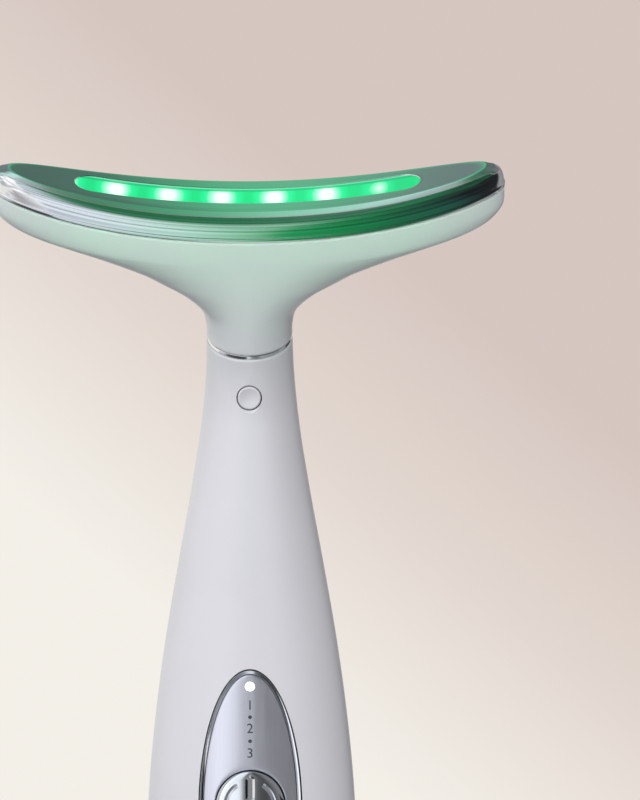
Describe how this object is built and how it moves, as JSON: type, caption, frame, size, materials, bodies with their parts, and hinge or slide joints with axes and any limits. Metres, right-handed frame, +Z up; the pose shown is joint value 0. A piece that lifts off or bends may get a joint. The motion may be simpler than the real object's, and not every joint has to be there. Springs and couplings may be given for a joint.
{
  "type": "face and neck lifting device",
  "caption": "Hand-held wand whose bent neck carries a crescent head with a concave bright metal face and a long lit window, with an oval control panel, a power button and a small neck button.",
  "frame": {"origin": "on the base plane, under the middle of the whole device", "axes": "+Z up along the grip, -Y the front with the controls, toward which the neck bends, +X the user's right as seen from the front"},
  "size_m": [0.0836, 0.0356, 0.1633],
  "materials": {
    "housing": "satin",
    "chromed_metal": "polished",
    "button_metal": "polished",
    "panel_metal": "satin",
    "window_green": "gloss",
    "lamp_white": "satin",
    "board_green": "satin",
    "frame_plastic": "matte",
    "switch_plastic": "satin",
    "steel": "satin",
    "sleeve_rubber": "matte",
    "cell_foil": "satin",
    "foam": "matte",
    "heater_film": "satin"
  },
  "bodies": {
    "device": {"handle_front_shell": "housing", "handle_back_shell": "housing", "base_cap": "housing", "control_panel": "panel_metal", "panel_trim": "button_metal", "power_switch": "switch_plastic", "status_light_pipe": "lamp_white", "status_led": "lamp_white", "main_board": "board_green", "battery_foam": "foam", "battery": "cell_foil", "usb_c_socket": "steel", "vibration_motor": "steel", "motor_sleeve": "sleeve_rubber", "grip_screw_left": "steel", "grip_screw_right": "steel", "neck_switch": "switch_plastic", "neck_board": "board_green", "neck_ring": "chromed_metal", "head_housing": "housing", "face_plate": "chromed_metal", "light_window": "window_green", "led_board": "board_green", "head_frame": "frame_plastic", "heater_left": "heater_film", "heater_right": "heater_film", "head_screw_left": "steel", "head_screw_right": "steel", "led_1": "lamp_white", "led_2": "lamp_white", "led_3": "lamp_white", "led_4": "lamp_white", "led_5": "lamp_white", "led_6": "lamp_white"},
    "power_button": {"power_button": "button_metal", "power_switch_plunger": "switch_plastic"},
    "neck_button": {"neck_button": "housing", "neck_switch_plunger": "switch_plastic"},
    "motor_weight": {"eccentric_weight": "steel"}
  },
  "joints": [
    {"name": "power_press", "type": "slide", "parent": "device", "child": "power_button", "axis": [0, 1, 0], "range_m": [0, 0.0006], "stiffness_N_per_m": 1500},
    {"name": "neck_press", "type": "slide", "parent": "device", "child": "neck_button", "axis": [0, 0.977, 0.2131], "range_m": [0, 0.0004], "stiffness_N_per_m": 1500},
    {"name": "motor_spin", "type": "hinge", "parent": "device", "child": "motor_weight", "pos_m": [0, 0.00431, 0.106], "axis": [0, 0, 1], "continuous": true}
  ]
}
